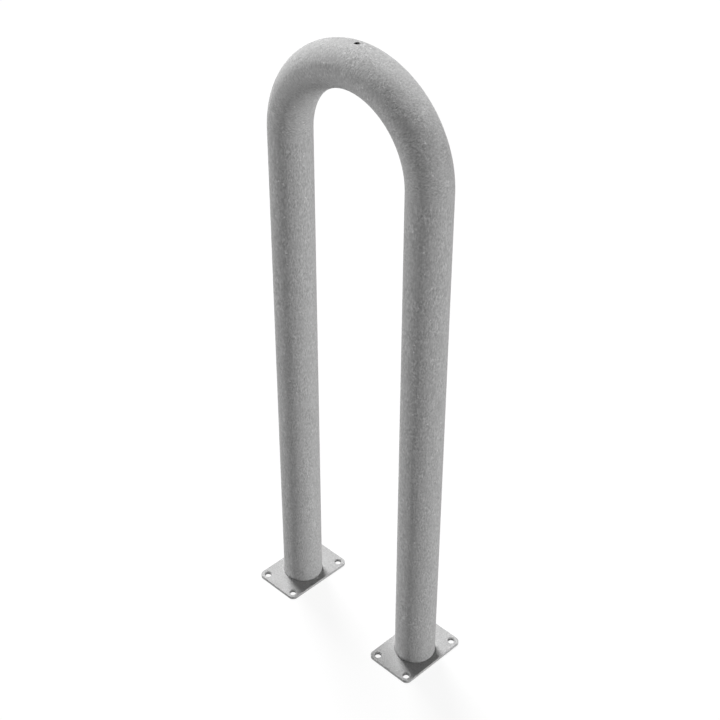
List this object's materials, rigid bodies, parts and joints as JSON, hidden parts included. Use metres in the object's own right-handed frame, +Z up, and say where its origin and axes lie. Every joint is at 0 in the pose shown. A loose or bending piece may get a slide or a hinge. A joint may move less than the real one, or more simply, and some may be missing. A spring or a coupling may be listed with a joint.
{
  "type": "hoop barrier",
  "caption": "Upright hoop barrier bent from round galvanised steel tube, standing on drilled rectangular base plates that bolt to the floor.",
  "frame": {"origin": "on the ground, half way between the legs, in the plane of the hoop", "axes": "+Z up, +X along the hoop from the left leg to the right leg, +Y across the hoop, away from the side that the picture shows"},
  "size_m": [0.409, 0.15, 1.1729],
  "materials": {
    "galvanised_tube": "hot-dip galvanised, matt grey with a fine grain and small pale flecks",
    "galvanised_plate": "hot-dip galvanised, matt light grey with a fine grain",
    "galvanised_weld": "zinc-coated weld bead, matt grey"
  },
  "bodies": {
    "root": {"hoop_tube": "galvanised_tube", "left_base_plate": "galvanised_plate", "right_base_plate": "galvanised_plate", "left_foot_weld": "galvanised_weld", "right_foot_weld": "galvanised_weld"}
  },
  "joints": []
}
